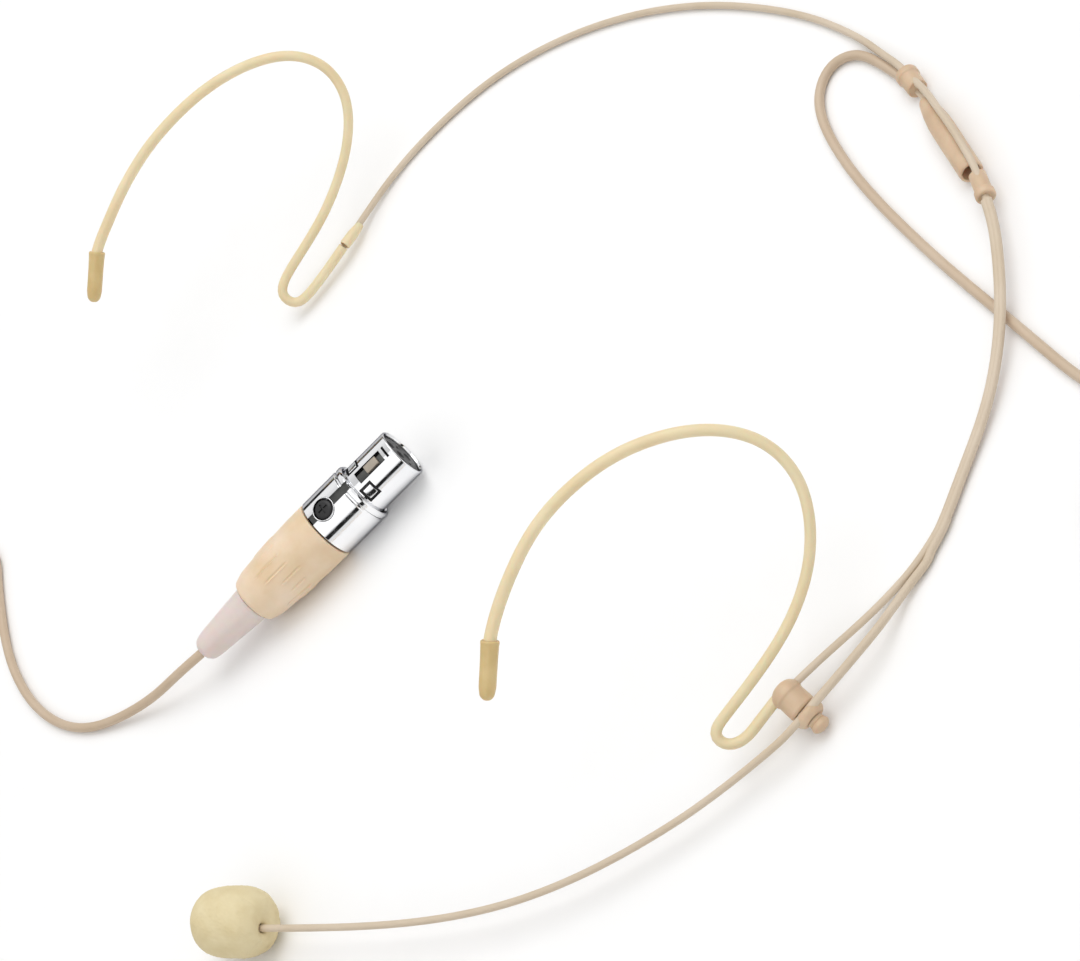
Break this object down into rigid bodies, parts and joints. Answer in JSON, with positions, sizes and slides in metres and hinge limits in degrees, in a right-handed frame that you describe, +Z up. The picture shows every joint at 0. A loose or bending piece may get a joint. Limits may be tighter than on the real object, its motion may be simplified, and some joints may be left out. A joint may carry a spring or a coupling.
{
  "type": "headset microphone",
  "caption": "Skin-coloured neckband headset microphone with two soft ear hooks, a swivelling boom with a foam windscreen, and a coiled lead to a small latching plug.",
  "frame": {"origin": "on the table under the middle of the headset, without its cable and plug", "axes": "+X from the plain ear hook to the ear hook with the boom clamp, +Y to the back of the neckband, +Z up; the boom points to -Y"},
  "size_m": [0.259, 0.2285, 0.0404],
  "materials": {
    "spring_steel": "drawn spring wire and stamped strip, satin",
    "skin_silicone": "skin-coloured soft silicone tube, slightly glossy",
    "cap_silicone": "mustard silicone, soft sheen",
    "skin_wire_jacket": "skin-coloured thin jacket, satin",
    "skin_plastic": "pinkish beige moulded plastic, satin",
    "cable_jacket": "skin-coloured soft cable jacket, satin",
    "foam": "open-cell foam, matte",
    "chrome": "polished chrome plate",
    "boot_plastic": "moulded beige boot with fine grips, satin",
    "relief_silicone": "translucent pinkish silicone",
    "black_plastic": "black moulded plastic",
    "gold_contact": "gold-plated contacts",
    "brass": "turned brass",
    "copper": "bare copper wire and solder"
  },
  "bodies": {
    "root": {"far_hook_core": "spring_steel", "near_hook_core": "spring_steel", "neckband_core": "spring_steel", "far_hook_sleeve": "skin_silicone", "near_hook_sleeve": "skin_silicone", "far_joint_ferrule": "skin_silicone", "far_hook_cap": "cap_silicone", "near_hook_cap": "cap_silicone", "neckband_sleeve": "skin_wire_jacket", "neckband_tail_sleeve": "skin_wire_jacket", "joint_sheath": "skin_wire_jacket", "mic_lead_sleeve": "skin_wire_jacket", "upper_crimp": "skin_plastic", "lower_crimp": "skin_plastic", "splice_housing": "skin_plastic", "clamp_barrel": "skin_plastic", "main_cable_a": "cable_jacket", "main_cable_b": "cable_jacket", "cable_coil": "cable_jacket", "plug_shell": "chrome", "plug_nose": "chrome", "key_tab": "chrome", "plug_boot": "boot_plastic", "plug_strain_relief": "relief_silicone", "plug_insert": "black_plastic", "cable_tie": "black_plastic", "socket_contact_1": "gold_contact", "socket_contact_2": "gold_contact", "socket_contact_3": "gold_contact", "socket_contact_4": "gold_contact", "clamp_nut": "brass", "plug_cable_clamp": "brass", "cable_pigtail": "copper", "splice_joint": "copper", "mic_lead": "copper", "plug_conductor": "copper"},
    "boom_carrier": {"clamp_disc": "skin_plastic"},
    "clamp_screw": {"clamp_knob": "skin_plastic", "clamp_washer": "brass"},
    "boom": {"boom_tube": "skin_wire_jacket", "boom_signal_wire": "copper", "capsule_body": "brass", "capsule_element": "spring_steel", "capsule_grille": "spring_steel"},
    "windscreen": {"foam_windscreen": "foam"},
    "plug_latch": {"latch_leaf": "spring_steel", "latch_hook": "spring_steel", "latch_button": "black_plastic"}
  },
  "joints": [
    {"name": "boom_swivel", "type": "hinge", "parent": "root", "child": "boom_carrier", "pos_m": [0.0891, 0.0079, 0.00474], "axis": [-0.8829, 0, 0.4695], "range_deg": [0, 35]},
    {"name": "boom_slide", "type": "slide", "parent": "boom_carrier", "child": "boom", "axis": [0, -1, 0], "range_m": [-0.003, 0.003]},
    {"name": "windscreen_pull", "type": "slide", "parent": "boom", "child": "windscreen", "axis": [-0.7769, -0.6296, 0], "range_m": [0, 0.018]},
    {"name": "knob_turn", "type": "hinge", "parent": "root", "child": "clamp_screw", "pos_m": [0.0891, 0.0079, 0.00474], "axis": [0.8829, 0, -0.4695], "continuous": true},
    {"name": "latch_press", "type": "slide", "parent": "root", "child": "plug_latch", "axis": [-0.3393, 0.0428, -0.9397], "range_m": [0, 0.0005], "stiffness_N_per_m": 400}
  ]
}
